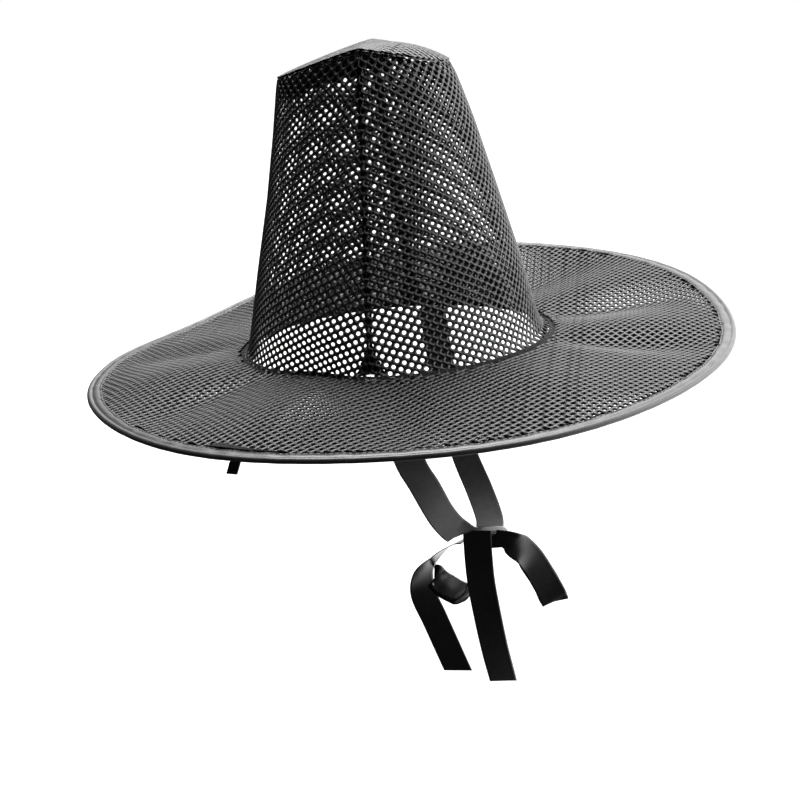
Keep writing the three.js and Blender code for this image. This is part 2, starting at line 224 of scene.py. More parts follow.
# Ribbon routes: middle x, y, z and width direction x, y, z
STRAP_RIGHT_ROUTE = [
    (-87.5, -12, -2.3, 0, 1, 0),
    (-85.5, -13.5, -28, -0.1, 1, 0),
    (-80, -17.5, -53, -0.2, 1, 0),
    (-68, -22.5, -73, -0.4, 0.9, 0.1),
    (-54, -28, -96.5, -0.6, 0.75, 0),
    (-43, -32.5, -110.5, -0.6, 0.75, -0.1),
    (-36.5, -36, -117, -0.5, 0.8, -0.2),
    (-27.5, -39, -121.5, -0.2, 0.95, -0.25),
]
STRAP_LEFT_ROUTE = [
    (87.5, -12, -2.3, 0, 1, 0),
    (85.5, -14, -28, 0, 1, 0),
    (80, -17.5, -53, 0, 1, 0),
    (68, -24, -76, 0, 1, -0.2),
    (52, -31, -98, 0, 1, -0.3),
    (31, -42, -116, 0, 1, -0.2),
    (8, -50, -126, 0, 1, 0),
    (-10, -52, -128, 0, 1, 0),
]
TAIL_FRONT_ROUTE = [
    (-26, -46, -120.5, 0, 1, 0.1),
    (-26, -45.5, -130, 0, 1, 0.2),
    (-24.5, -45.5, -154, -0.25, 0.9, 0.35),
    (-22, -47, -177, -0.25, 0.95, 0.25),
    (-21, -50.5, -207, -0.35, 0.9, 0.2),
    (-20, -54.5, -232, -0.45, 0.85, 0.25),
]
TAIL_BACK_ROUTE = [
    (-12, -39, -131, -1, 0, 0.2),
    (-3, -31, -138, -0.95, 0.1, 0.3),
    (10, -15, -152, -0.9, 0, 0.4),
    (20, -1, -170, -0.75, 0.45, 0.4),
    (23, 1.5, -188, -0.4, 0.9, 0.2),
    (21.5, -5, -207, -0.15, 1, 0.1),
    (20.5, -11.5, -226, -0.15, 1, 0),
    (20, -18.5, -247, -0.15, 1, 0),
]
LOOP_FRONT_ROUTE = [
    (-25.3, -57, -125.8, 0, -0.7, 0.7),
    (-25.8, -65, -128, 0, -0.7, 0.7),
    (-24.5, -70, -132.5, 0.4, -0.69, 0.5),
    (-22, -75, -138, 0.67, -0.66, 0.2),
    (-19.3, -80.3, -148.1, 0.54, -0.82, 0.19),
    (-19, -86.7, -161.7, 0.45, -0.89, 0.08),
    (-18.3, -90.5, -171.2, 0.36, -0.93, 0),
    (-16.5, -91.5, -176, 0.5, -0.86, 0),
    (-14.6, -89.3, -172.3, 0.36, -0.93, 0),
    (-15.6, -85.6, -161, 0.45, -0.89, 0.08),
    (-16, -78.3, -147.9, 0.54, -0.82, 0.19),
    (-16.9, -73, -139.8, 0.6, -0.65, 0.3),
    (-16.5, -66, -131.5, 0, -0.74, 0.67),
]
LOOP_BACK_ROUTE = [
    (-17.5, -48, -135.2, -0.6, 0.75, 0),
    (-14, -46.5, -146, -0.9, 0.3, 0),
    (-7, -41, -165, -0.97, 0.2, 0.1),
    (1, -35, -179, -0.95, 0.2, 0.2),
    (7, -27, -183, -0.95, 0, -0.2),
    (13, -17, -180.5, -0.9, -0.05, -0.43),
    (17.5, -9.5, -176, -0.87, -0.07, -0.49),
    (17, -9, -173.5, -0.87, -0.07, -0.49),
    (13, -16, -176.8, -0.9, -0.05, -0.43),
    (7, -26.5, -179.3, -0.95, 0, -0.2),
    (1, -32.5, -176, -0.95, 0.2, 0.2),
    (-5, -38, -163, -0.97, 0.2, 0.1),
    (-12, -43.5, -146, -0.9, 0.3, 0),
    (-15, -44.7, -135.2, -0.6, 0.75, 0),
]

# Camera, in metres
CAMERA_PLACE = Vector((-0.8055, -0.1507, 0.2257))
CAMERA_AIM = Vector((-0.0109, -0.0019, -0.0368))
CAMERA_ROLL = math.radians(-5.6)
CAMERA_LENS = 60.75
CAMERA_SENSOR = 36.0
CAMERA_NEAREST = 0.05

# Studio, in metres: the room's light fades from its bright side to the camera's side
FLOOR_HEIGHT = -0.262
FLOOR_REACH = 6.0
ROOM_BRIGHT_SIDE = (0.68, -0.73, 0.05)
ROOM_FADE_START = 0.1
ROOM_FADE_END = 0.8
ROOM_NEAR = 0.05
ROOM_FAR = 3.3

# Soft boxes, in metres and watts: name, place, width, power
SOFT_BOXES = [
    ("key_box", (0.5, -2.2, 1.1), 1.8, 26),
    ("top_box", (0.6, 0.2, 1.9), 1.6, 90),
]


# Meshes from arrays

def new_object(name, points, polygons, material, smooth=True):
    """Mesh object from points in millimetres and equal-sided polygons."""
    points = np.asarray(points, np.float32) * MM
    polygons = np.asarray(polygons, np.int32)
    corners = polygons.shape[1]
    mesh = bpy.data.meshes.new(name)
    mesh.vertices.add(len(points))
    mesh.vertices.foreach_set("co", points.ravel())
    mesh.loops.add(polygons.size)
    mesh.loops.foreach_set("vertex_index", polygons.ravel())
    mesh.polygons.add(len(polygons))
    mesh.polygons.foreach_set("loop_start", np.arange(0, polygons.size, corners, dtype=np.int32))
    mesh.polygons.foreach_set("use_smooth", np.full(len(polygons), smooth))
    mesh.update(calc_edges=True)
    mesh.validate()
    mesh.materials.append(material)
    thing = bpy.data.objects.new(name, mesh)
    bpy.context.scene.collection.objects.link(thing)
    return thing


def grid_quads(columns, rows, ring_columns=False, ring_rows=False):
    """Quads over a grid of points, stored column by column."""
    column_steps = columns if ring_columns else columns - 1
    row_steps = rows if ring_rows else rows - 1
    column, row = np.meshgrid(np.arange(column_steps), np.arange(row_steps), indexing="ij")
    next_column = (column + 1) % columns
    next_row = (row + 1) % rows
    quads = [
        column * rows + row,
        next_column * rows + row,
        next_column * rows + next_row,
        column * rows + next_row,
    ]
    return np.stack([quad.ravel() for quad in quads], 1)


def closed_strip(name, upper, lower, material):
    """Closed strip between two grids of points, with both its ends capped."""
    columns, rows = upper.shape[:2]
    loop = np.concatenate([upper, lower[:, ::-1]], axis=1)
    caps = []
    for column in (0, columns - 1):
        base = column * 2 * rows
        last = base + 2 * rows - 1
        for row in range(rows - 1):
            cap = [base + row, base + row + 1, last - row - 1, last - row]
            caps.append(cap if column == 0 else cap[::-1])
    quads = np.concatenate([grid_quads(columns, 2 * rows, ring_rows=True), np.array(caps)])
    return new_object(name, loop.reshape(-1, 3), quads, material)


def closed_ring(name, lines, material):
    """Closed band round the hat through lines of points that run round it."""
    points = np.stack(lines, 1)
    columns, rows = points.shape[:2]
    quads = grid_quads(columns, rows, ring_columns=True, ring_rows=True)
    return new_object(name, points.reshape(-1, 3), quads, material)


def angles_round(count):
    """Evenly spaced angles round the hat."""
    return np.arange(count) * 360.0 / count


def waves(turned, table):
    """Sum of waves over an angle in radians: height, number in a turn, phase."""
    return sum(height * np.sin(turned * number + phase) for height, number, phase in table)


def rotated(points, turn):
    """Flat points turned about the origin."""
    spin = np.array([[math.cos(turn), -math.sin(turn)], [math.sin(turn), math.cos(turn)]])
    return points @ spin.T


def smooth_curve(points, along):
    """Points on a rounded curve through the given points, evenly by row."""
    count = len(points) - 1
    padded = np.concatenate([[2 * points[0] - points[1]], points, [2 * points[-1] - points[-2]]])
    turn = along * count
    index = np.clip(np.floor(turn).astype(int), 0, count - 1)
    share = (turn - index)[:, None]
    before, here, after, beyond = (padded[index + offset] for offset in range(4))
    return 0.5 * (
        2 * here
        + (after - before) * share
        + (2 * before - 5 * here + 4 * after - beyond) * share ** 2
        + (3 * here - before - 3 * after + beyond) * share ** 3
    )


# Forms of the hat

def angle_between(first, second):
    """Difference of two angles, between -180 and 180."""
    return (first - second + 180.0) % 360.0 - 180.0


def bell(angle, middle, spread):
    """Smooth bump of height 1 round one angle."""
    return np.exp(-(angle_between(angle, middle) / spread) ** 2)


def foot_dent(angle):
    """How far the crown's foot is pushed in."""
    return FOOT_DENT["depth"] * bell(angle, FOOT_DENT["angle"], FOOT_DENT["spread"])


def rim_height(angle):
    """Height of the brim's edge, eased between its table's values."""
    count = len(RIM_HEIGHTS)
    turn = (angle % 360.0) / (360.0 / count)
    index = np.floor(turn).astype(int)
    share = turn - index
    before = RIM_HEIGHTS[(index - 1) % count]
    here = RIM_HEIGHTS[index % count]
    after = RIM_HEIGHTS[(index + 1) % count]
    beyond = RIM_HEIGHTS[(index + 2) % count]
    square = share ** 2
    cube = share ** 3
    return (
        (2 * cube - 3 * square + 1) * here
        + (cube - 2 * square + share) * (after - before) / 2
        + (3 * square - 2 * cube) * after
        + (cube - square) * (beyond - here) / 2
    )


def top_fall(angle, share):
    """Fall of the top at a share of the way from its middle to its edge."""
    across = np.sin(np.radians(angle))
    drop = np.where(across < 0, FRONT_DROP, BACK_DROP)
    power = np.where(across < 0, FRONT_POWER, BACK_POWER)
    return drop * np.abs(across) ** FALL_ROUND * share ** power


def top_edge_height(angle):
    """Height of the crown's side where it meets the top."""
    return CROWN_HEIGHT - CLOTH - top_fall(angle, 1.0)


def half_width(height, column):
    """Half width of the crown at a height, to one of its sides."""
    return np.interp(height, CROWN_SECTIONS[:, HEIGHT], CROWN_SECTIONS[:, column])


def crown_point(angle, height, depth):
    """Point on the crown's side, or inside it by the given depth."""
    angle, height, depth = np.broadcast_arrays(np.asarray(angle, float), height, depth)
    side = half_width(height, SIDE)
    turned = np.radians(angle)
    along = np.where(np.sin(turned) < 0, half_width(height, FRONT), half_width(height, BACK))
    dent = foot_dent(angle) * np.clip(1 - height / FOOT_DENT["height"], 0, None)
    twist = TOP_TWIST * np.clip(height / CROWN_HEIGHT, 0, None) ** TWIST_POWER
    x = (side - dent - depth) * np.cos(turned)
    y = (along - dent - depth) * np.sin(turned)
    return np.stack([
        x * np.cos(twist) - y * np.sin(twist),
        x * np.sin(twist) + y * np.cos(twist),
        height,
    ], -1)


def brim_rise(angle, share):
    """Height of the brim's middle between the crown's foot (0) and the edge (1)."""
    share = np.clip(share, 0, 1)
    folds = sum(depth * bell(angle, middle, spread) for middle, depth, spread in BRIM_FOLDS)
    return rim_height(angle) * share ** RISE_POWER + folds * np.sin(np.pi * share) ** FOLD_POWER


def brim_point(angle, share, edge_inset, lift):
    """Point of the brim between the crown's foot (0) and the edge (1)."""
    angle = np.asarray(angle, float)
    angle, share, edge_inset, lift = np.broadcast_arrays(angle, share, edge_inset, lift)
    inner = crown_point(angle, 0.0, -BRIM_START)
    turned = np.radians(angle)
    reach = BRIM_RADIUS - edge_inset
    outer_x = reach * np.cos(turned)
    outer_y = reach * np.sin(turned) - BRIM_FORWARD
    return np.stack([
        inner[..., 0] + (outer_x - inner[..., 0]) * share,
        inner[..., 1] + (outer_y - inner[..., 1]) * share,
        brim_rise(angle, share) + lift,
    ], -1)


# Netting

def net_cell(hole_radius):
    """Corners of one cell of netting around its hole, and the points of the hole's edge."""
    half_across = NET_ACROSS / 2
    half_along = NET_ALONG / 2
    reach = (half_across ** 2 + half_along ** 2) / 2
    side_corner = reach / half_across
    top_corner = (reach - half_along ** 2) / half_across
    middle = ((side_corner + top_corner) / 2, half_along / 2)
    quarter = [(side_corner, 0), middle, (top_corner, half_along)]
    mirrored = [(-x, y) for x, y in reversed(quarter)]
    upper = quarter + mirrored
    lower = [(x, -y) for x, y in reversed(upper[1:-1])]
    corners = np.array(upper + lower)
    hole = hole_radius * corners / np.linalg.norm(corners, axis=1, keepdims=True)
    return corners, hole


def net_grid(low, high, turn=0.0, shift=(0.0, 0.0)):
    """Middles of the holes over a rectangle."""
    reach = np.hypot(*(np.asarray(high) - np.asarray(low)))
    columns = np.arange(-int(reach / NET_ACROSS) - 2, int(reach / NET_ACROSS) + 3)
    rows = np.arange(-int(reach / NET_ALONG) - 2, int(reach / NET_ALONG) + 3)
    column, row = np.meshgrid(columns, rows, indexing="ij")
    even = np.stack([column * NET_ACROSS, row * NET_ALONG], -1).reshape(-1, 2)
    odd = even + (NET_ACROSS / 2, NET_ALONG / 2)
    middles = np.concatenate([even, odd]) + shift
    turned = rotated(middles, turn)
    inside = np.all((turned > np.asarray(low)) & (turned < np.asarray(high)), axis=1)
    return middles[inside]


def netting(name, middles, place, material, turn=0.0, hole_radius=HOLE_RADIUS, half=THREAD_HALF):
    """Real netting: round threads between the holes.

    place turns flat points and a lift off the cloth into points of the hat.
    """
    corners, hole = net_cell(hole_radius)
    count = len(corners)
    ridge = (middles[:, None] + corners[None]).reshape(-1, 2)
    rim = (middles[:, None] + hole[None]).reshape(-1, 2)
    # Corners that neighbouring cells share fall into the same fiftieth of a millimetre
    keys = np.round(ridge * 50).astype(np.int64)
    _, first, shared = np.unique(keys, axis=0, return_index=True, return_inverse=True)
    shared = shared.ravel().reshape(-1, count)
    ridge = rotated(ridge[first], turn)
    rim = rotated(rim, turn)
    ridges = len(ridge)
    points = np.concatenate([
        place(ridge, np.full(ridges, half)),
        place(ridge, np.full(ridges, -half)),
        place(rim, np.zeros(len(rim))),
    ])
    edge = 2 * ridges + np.arange(len(rim)).reshape(-1, count)
    shared_next = np.roll(shared, -1, axis=1)
    edge_next = np.roll(edge, -1, axis=1)
    top = np.stack([edge, shared, shared_next, edge_next], -1).reshape(-1, 4)
    under = np.stack([edge_next, shared_next + ridges, shared + ridges, edge], -1).reshape(-1, 4)
    return new_object(name, points, np.concatenate([top, under]), material)


def with_lift(surface):
    """Turns a surface of two values into one that takes them and a lift."""
    step = 0.2

    def place(first, second, lift):
        here = surface(first, second)
        along_first = surface(first + step, second) - surface(first - step, second)
        along_second = surface(first, second + step) - surface(first, second - step)
        normal = np.cross(along_first, along_second)
        normal /= np.maximum(np.linalg.norm(normal, axis=1, keepdims=True), 1e-9)
        return here + normal * lift[:, None]

    return place


def flat_place(surface):
    """Lifted surface over flat points, for one that takes x and y."""
    lifted = with_lift(surface)
    return lambda flat, lift: lifted(flat[:, 0], flat[:, 1], lift)


def from_apex(flat):
    """Distance and direction of a panel's flat points from the tip of its cone."""
    across = flat[:, 0]
    down = APEX - flat[:, 1]
    return np.hypot(across, down), np.arctan2(across, down)


def panel_height():
    """Height of a crown panel's flat pattern, from its foot's lowest point to its upper corners."""
    return APEX - (APEX - SLANT) * math.cos(PANEL_HALF)


def crown_netting(name, middle_angle, material):
    """Half of the crown's side, its grain upright in the middle of the panel."""

    def surface(angle, percent):
        share = np.clip(percent, 0, 100) / 100
        height = NET_FOOT + (top_edge_height(angle) - NET_FOOT) * share
        return crown_point(angle, height, NET_DEPTH)

    lifted = with_lift(surface)

    def place(flat, lift):
        reach, swing = from_apex(flat)
        angle = middle_angle + np.clip(swing / PANEL_HALF, -1, 1) * 90
        percent = np.clip(100 * (APEX - reach) / SLANT, 0, 100)
        return lifted(angle, percent, lift)

    foot_half = APEX * math.sin(PANEL_HALF)
    middles = net_grid((-foot_half, -NET_ALONG), (foot_half, panel_height() + NET_ALONG))
    reach, swing = from_apex(middles)
    inside = (np.abs(swing) < PANEL_HALF * PANEL_NET_END) & (reach > APEX - SLANT) & (reach < APEX)
    return netting(name, middles[inside], place, material)


def brim_offset(points, share):
    """Whether flat points lie outside the brim's line of that share, and their angle."""
    x = points[:, 0]
    y = points[:, 1] + BRIM_FORWARD * share
    edge = BRIM_RADIUS - BINDING_WIDTH
    side, front, back = (
        foot + (edge - foot) * share
        for foot in CROWN_SECTIONS[0, [SIDE, FRONT, BACK]] + BRIM_START
    )
    along = np.where(y < 0, front, back)
    angle = np.degrees(np.arctan2(y / along, x / side))
    dent = foot_dent(angle) * (1 - share)
    return np.hypot(x / (side - dent), y / (along - dent)) > 1, angle


def brim_shares(points):
    """Angle and share of flat points on the brim, found by halving."""
    low = np.full(len(points), -0.2)
    high = np.full(len(points), 1.2)
    for _ in range(24):
        share = (low + high) / 2
        beyond, angle = brim_offset(points, share)
        low = np.where(beyond, share, low)
        high = np.where(beyond, high, share)
    return angle, (low + high) / 2


def brim_netting(name, layer_lift, turn, shift, material):
    """One layer of the brim, its grain from front to back."""

    def surface(x, y):
        angle, share = brim_shares(np.stack([x, y], 1))
        return brim_point(angle, np.clip(share, 0.0, 1.03), BINDING_WIDTH, layer_lift)

    reach = BRIM_RADIUS + BINDING_WIDTH
    middles = net_grid((-reach, -reach - BRIM_FORWARD), (reach, reach), turn, shift)
    _, share = brim_shares(rotated(middles, turn))
    middles = middles[(share > BRIM_NET_START) & (share < BRIM_NET_END)]
    place = flat_place(surface)
    return netting(name, middles, place, material, turn, BRIM_HOLE_RADIUS, BRIM_THREAD_HALF)


TOP_SIDE = half_width(CROWN_HEIGHT - CLOTH, SIDE)
TOP_FRONT = half_width(CROWN_HEIGHT - CLOTH - FRONT_DROP, FRONT)
TOP_BACK = half_width(CROWN_HEIGHT - CLOTH - BACK_DROP, BACK)


def on_top(x, y):
    """Angle and share of the way to the top's edge for flat points on the top."""
    points = rotated(np.stack([x, y], 1), -TOP_TWIST)
    along = np.where(points[:, 1] < 0, TOP_FRONT, TOP_BACK)
    scaled_x = points[:, 0] / TOP_SIDE
    scaled_y = points[:, 1] / along
    return np.degrees(np.arctan2(scaled_y, scaled_x)), np.hypot(scaled_x, scaled_y)


def top_netting(name, material):
    """Top piece: a ridge from seam to seam, rounded down to the front."""

    def surface(x, y):
        angle, share = on_top(x, y)
        kept = np.clip(share, 0, 1)
        scale = kept / np.maximum(share, 1e-6)
        level = CROWN_HEIGHT - NET_DEPTH - top_fall(angle, kept)
        return np.stack([x * scale, y * scale, level], -1)

    reach = TOP_BACK + NET_ACROSS
    middles = net_grid((-reach, -reach), (reach, reach))
    _, share = on_top(middles[:, 0], middles[:, 1])
    middles = middles[share < 1]
    return netting(name, middles, flat_place(surface), material, hole_radius=TOP_HOLE_RADIUS)


# Sewn parts

def allowance_strip(name, start, end, height, layer, material):
    """Crumpled double cloth of the turned-in seam under the top's edge, its lower edge uneven."""
    columns = int((end - start) * 2.5)
    rows = 13
    angle = np.linspace(start, end, columns)
    turned = np.radians(angle)
    down = np.linspace(0, 1, rows)[None]
    uneven = waves(turned, [(0.14, 11, layer), (0.1, 29, 2 * layer), (0.06, 67, 0)])
    below = ALLOWANCE_START + height * (1 + uneven[:, None]) * down
    crumple = waves(turned[:, None], [(0.5, 47, 5 * down), (0.35, 83, layer - 7 * down)]) * down
    depth = ALLOWANCE_DEPTH + ALLOWANCE_STEP * layer + crumple
    level = top_edge_height(angle)[:, None] - below
    outer = crown_point(angle[:, None], level, depth)
    inner = crown_point(angle[:, None], level, depth + ALLOWANCE_THICK)
    return closed_strip(name, outer, inner, material)


def seam_strip(name, seam_angle, half_wide, material):
    """Turned-in cloth behind a side seam, spread into a foot at the base."""
    columns = 160
    rows = 9
    height = np.linspace(SEAM_START, top_edge_height(seam_angle) - SEAM_END_GAP, columns)
    foot = np.clip(1 - height / SEAM_FOOT["height"], 0, None) ** SEAM_FOOT["power"]
    uneven = waves(height, [(0.35, 0.9, 0), (0.25, 2.3, seam_angle)])
    half = half_wide + uneven + SEAM_FOOT["half"] * foot
    across = np.linspace(-1, 1, rows)[None]
    swing = np.degrees(half / half_width(height, BACK))
    angle = seam_angle + swing[:, None] * across
    crease = 0.25 * np.cos(4 * np.pi * across) * (1 + foot[:, None])
    depth = SEAM_DEPTH + crease
    outer = crown_point(angle, height[:, None], depth - SEAM_HALF_THICK)
    inner = crown_point(angle, height[:, None], depth + SEAM_HALF_THICK)
    return closed_strip(name, outer, inner, material)


def tape_width(angle):
    """Width of the binding: it is caught narrower where it was sewn over a fold."""
    caught = TAPE_CAUGHT["depth"] * bell(angle, TAPE_CAUGHT["angle"], TAPE_CAUGHT["spread"])
    return BINDING_WIDTH - caught + waves(np.radians(angle), TAPE_WAVES)


def tape_inset(angle, share):
    """Distance from the brim's edge to a share of the tape's flat part."""
    return TAPE_START + (tape_width(angle) - TAPE_START) * share


def binding(name, material):
    """Tape folded over the edge, with a bead where the wire runs inside."""
    columns = 900
    bead_turns = np.radians(np.linspace(135, -135, 12))
    bead_ripple = 0.3
    angle = angles_round(columns)
    ripple = waves(np.radians(angle), TAPE_RIPPLE)
    lines = []
    for share, height in TAPE_PROFILE:
        lines.append((tape_inset(angle, share), height + ripple))
    for turn in bead_turns:
        inset = BEAD_RADIUS * (1 - math.cos(turn))
        lines.append((inset, BEAD_RADIUS * math.sin(turn) + bead_ripple * ripple))
    for share, height in reversed(TAPE_PROFILE):
        lines.append((tape_inset(angle, share), ripple - height))
    return closed_ring(name, [brim_point(angle, 1.0, *line) for line in lines], material)


def stitch_row(name, starts, ends, radius, material):
    """Row of sewn stitches, each a short thread that dips in at both ends."""
    rings = 5
    sides = 6
    along = np.linspace(0, 1, rings)
    turn = np.arange(sides) * 2 * np.pi / sides
    travel = ends - starts
    travel /= np.linalg.norm(travel, axis=1, keepdims=True)
    upward = np.array([0.0, 0.0, 1.0])
    sideways = np.cross(travel, upward)
    sideways /= np.linalg.norm(sideways, axis=1, keepdims=True)
    rise = np.cross(sideways, travel)
    arch = radius * (2 * np.sin(np.pi * along) - 0.8)
    middle = starts[:, None] + (ends - starts)[:, None] * along[None, :, None]
    middle = middle + rise[:, None] * arch[None, :, None]
    thick = np.full(rings, radius)
    thick[[0, -1]] = radius / 2
    around = sideways[:, None, None] * np.cos(turn)[None, None, :, None]
    around = around + rise[:, None, None] * np.sin(turn)[None, None, :, None]
    points = middle[:, :, None] + around * thick[None, :, None, None]
    caps = []
    for base, order in ((0, -1), ((rings - 1) * sides, 1)):
        ring = [base + side for side in range(sides)][::order]
        caps.append([ring[0], ring[1], ring[2], ring[3]])
        caps.append([ring[0], ring[3], ring[4], ring[5]])
    single = np.concatenate([grid_quads(rings, sides, ring_rows=True), np.array(caps)])
    quads = single[None] + (np.arange(len(starts)) * rings * sides)[:, None, None]
    return new_object(name, points.reshape(-1, 3), quads.reshape(-1, 4), material)


def binding_stitches(name, side, material):
    """Stitches along the tape's inner edge, on its upper (1) or lower (-1) face."""
    angle = angles_round(TAPE_STITCH["count"])
    lift = side * TAPE_STITCH["height"] + waves(np.radians(angle), TAPE_RIPPLE)
    inset = tape_inset(angle, TAPE_SEWN_SHARE)
    starts = brim_point(angle, 1.0, inset, lift)
    ends = brim_point(angle + TAPE_STITCH["length"], 1.0, inset, lift)
    return stitch_row(name, starts, ends, TAPE_STITCH["radius"], material)


def base_stitches(name, material):
    """Stitches through the brim beside the crown's foot."""
    angle = angles_round(FOOT_STITCH["count"])
    lift = FOOT_STITCH["height"]
    starts = brim_point(angle, FOOT_STITCH_SHARE, BINDING_WIDTH, lift)
    ends = brim_point(angle + FOOT_STITCH["length"], FOOT_STITCH_SHARE, BINDING_WIDTH, lift)
    return stitch_row(name, starts, ends, FOOT_STITCH["radius"], material)


def base_joint(name, material):
    """Turned-in cloth where the crown is sewn to the brim."""
    angle = angles_round(360)
    uneven = waves(np.radians(angle), JOINT_WAVES)
    lines = []
    for depth, height in JOINT_SECTION:
        line = crown_point(angle, 0.0, depth)
        line[:, 2] = height + uneven
        lines.append(line)
    return closed_ring(name, lines, material)


def tape_opening(name, material):
    """Strip for the tape's inner face where it stands open beside its loose end, in dull black seam
    cloth: painted shade for the shadowed inside of the fold.
    """
    columns = 60
    rows = 5
    overlap = 0.2
    dip = 0.3
    angle = np.linspace(TAPE_OPENING["start"], TAPE_OPENING["end"], columns)[:, None]
    along = np.linspace(0, 1, columns)[:, None]
    across = np.linspace(0, 1, rows)[None]
    # Opens over its first tenth, then narrows to a point
    width = TAPE_OPENING["width"] * np.clip(along / 0.1, 0, 1) * (1 - along) ** 1.3
    inset = tape_width(angle) - overlap + width * across
    share = 1 - (inset - BINDING_WIDTH) / BRIM_DEPTH
    lift = TAPE_OPENING["lift"] - dip * np.sin(np.pi * across)
    upper = brim_point(angle, share, BINDING_WIDTH, lift)
    lower = brim_point(angle, share, BINDING_WIDTH, lift - TAPE_OPENING["thick"])
    return closed_strip(name, upper, lower, material)


# Ribbon

def ribbon_strip(name, route, material, columns=140, pinch=0.0, pleats=0, cut=0.0):
    """Flat ribbon along a route of middles and width directions.

    pinch narrows both its ends, where it is gathered into that many pleats.
    cut slants its far end.
    """
    rows = 17
    route = np.asarray(route, float)
    across = np.linspace(-0.5, 0.5, rows)[None]
    along = np.linspace(0, 1, columns)[:, None] * (1 + cut * across)
    middle = smooth_curve(route[:, :3], along.ravel()).reshape(columns, rows, 3)
    wide = smooth_curve(route[:, 3:], along.ravel()).reshape(columns, rows, 3)
    tangent = np.gradient(middle, axis=0)
    tangent /= np.linalg.norm(tangent, axis=2, keepdims=True)
    wide -= tangent * np.sum(wide * tangent, axis=2, keepdims=True)
    wide /= np.linalg.norm(wide, axis=2, keepdims=True)
    normal = np.cross(tangent, wide)
    gather = np.exp(-(along / GATHERED_START) ** 2) + np.exp(-((1 - along) / GATHERED_END) ** 2)
    width = RIBBON_WIDTH * (1 - pinch * gather)
    bulge = PLEAT_HEIGHT * pinch * gather * np.cos(2 * np.pi * pleats * across)
    bulge += RIBBON_RIPPLE * np.sin(along * RIPPLE_TURNS + 2 * across)
    sheet = middle + wide * (width * across)[..., None] + normal * bulge[..., None]
    # The woven edge is a little thicker beside each rim
    half = np.full(rows, RIBBON_THICK * 0.5)
    half[[0, -1]] = RIBBON_THICK * 0.45
    half[[1, -2]] = RIBBON_THICK * 0.62
    edge = normal * half[None, :, None]
    return closed_strip(name, sheet + edge, sheet - edge, material)


def squared(value):
    """Pushes the values of a sine towards -1 and 1, so that a round form turns boxy."""
    return np.sign(value) * np.sqrt(np.abs(value))


def knot(name, material):
    """Knot of the bow: a flat, boxy lump wrapped in gathered ribbon."""
    columns = 96
    levels = 41
    turn = (np.arange(columns) * 2 * np.pi / columns)[None]
    steepest = 86
    rise = np.radians(np.linspace(-steepest, steepest, levels))[:, None]
    spread = squared(np.cos(rise))
    folds = 1 + KNOT_PLEAT_DEPTH * np.cos(KNOT_PLEATS * np.pi * np.sin(rise))
    middle = np.array([KNOT["x"], KNOT["y"], KNOT["z"]])
    tip = np.array([0, 0, KNOT["half_z"]])
    x = KNOT["half_x"] * folds * squared(np.cos(turn)) * spread
    y = KNOT["half_y"] * squared(np.sin(turn)) * spread
    z = KNOT["half_z"] * squared(np.sin(rise))
    rings = middle + np.stack(np.broadcast_arrays(x, y, z), -1)
    low = np.broadcast_to(middle - tip, (1, columns, 3))
    high = np.broadcast_to(middle + tip, (1, columns, 3))
    points = np.concatenate([low, rings, high]).reshape(-1, 3)
    return new_object(name, points, grid_quads(levels + 2, columns, ring_rows=True), material)


# Materials

def new_material(name, color, roughness, specular):
    """Material with its node tree and its shader."""
    material = bpy.data.materials.new(name)
    material.use_nodes = True
    shader = material.node_tree.nodes["Principled BSDF"]
    shader.inputs["Base Color"].default_value = (*color, 1)
    shader.inputs["Roughness"].default_value = roughness
    shader.inputs["Specular IOR Level"].default_value = specular
    return material, material.node_tree, shader


def add_bump(tree, shader, height_socket, distance, strength):
    """Fine relief on the shader from a height."""
    bump = tree.nodes.new("ShaderNodeBump")
    bump.inputs["Distance"].default_value = distance
    bump.inputs["Strength"].default_value = strength
    tree.links.new(height_socket, bump.inputs["Height"])
    tree.links.new(bump.outputs["Normal"], shader.inputs["Normal"])


def noise(tree, scale):
    """Noise over the object, as a factor."""
    coordinates = tree.nodes.new("ShaderNodeTexCoord")
    texture = tree.nodes.new("ShaderNodeTexNoise")
    texture.inputs["Scale"].default_value = scale
    texture.inputs["Detail"].default_value = 2.0
    tree.links.new(coordinates.outputs["Object"], texture.inputs["Vector"])
    return texture.outputs["Fac"]


def color_between(tree, shader, factor, low, high):
    """Colour that wanders between two shades."""
    ramp = tree.nodes.new("ShaderNodeValToRGB")
    ramp.color_ramp.elements[0].position = 0.3
    ramp.color_ramp.elements[1].position = 0.7
    ramp.color_ramp.elements[0].color = (*low, 1)
    ramp.color_ramp.elements[1].color = (*high, 1)
    tree.links.new(factor, ramp.inputs["Fac"])
    tree.links.new(ramp.outputs["Color"], shader.inputs["Base Color"])


def net_material():
    """Black plastic thread with a soft gloss."""
    material, tree, shader = new_material("net_thread", (0.01, 0.01, 0.01), 0.38, 0.6)
    color_between(tree, shader, noise(tree, 900.0), (0.005, 0.005, 0.005), (0.014, 0.014, 0.014))
    add_bump(tree, shader, noise(tree, 2500.0), 0.0002, 0.5)
    return material


def seam_material():
    """Dull black cloth of the turned-in seams."""
    material, tree, shader = new_material("seam_cloth", (0.006, 0.006, 0.006), 0.75, 0.2)
    color_between(tree, shader, noise(tree, 700.0), (0.004, 0.004, 0.004), (0.012, 0.012, 0.012))
    add_bump(tree, shader, noise(tree, 1500.0), 0.0005, 0.8)
    return material


def tape_material():
    """Satin of the binding, which mirrors the bright room."""
    material, tree, shader = new_material("bias_tape", (0.05, 0.05, 0.05), 0.38, 0.65)
    color_between(tree, shader, noise(tree, 160.0), (0.016, 0.016, 0.017), (0.027, 0.027, 0.028))
    add_bump(tree, shader, noise(tree, 1800.0), 0.0002, 0.3)
    return material


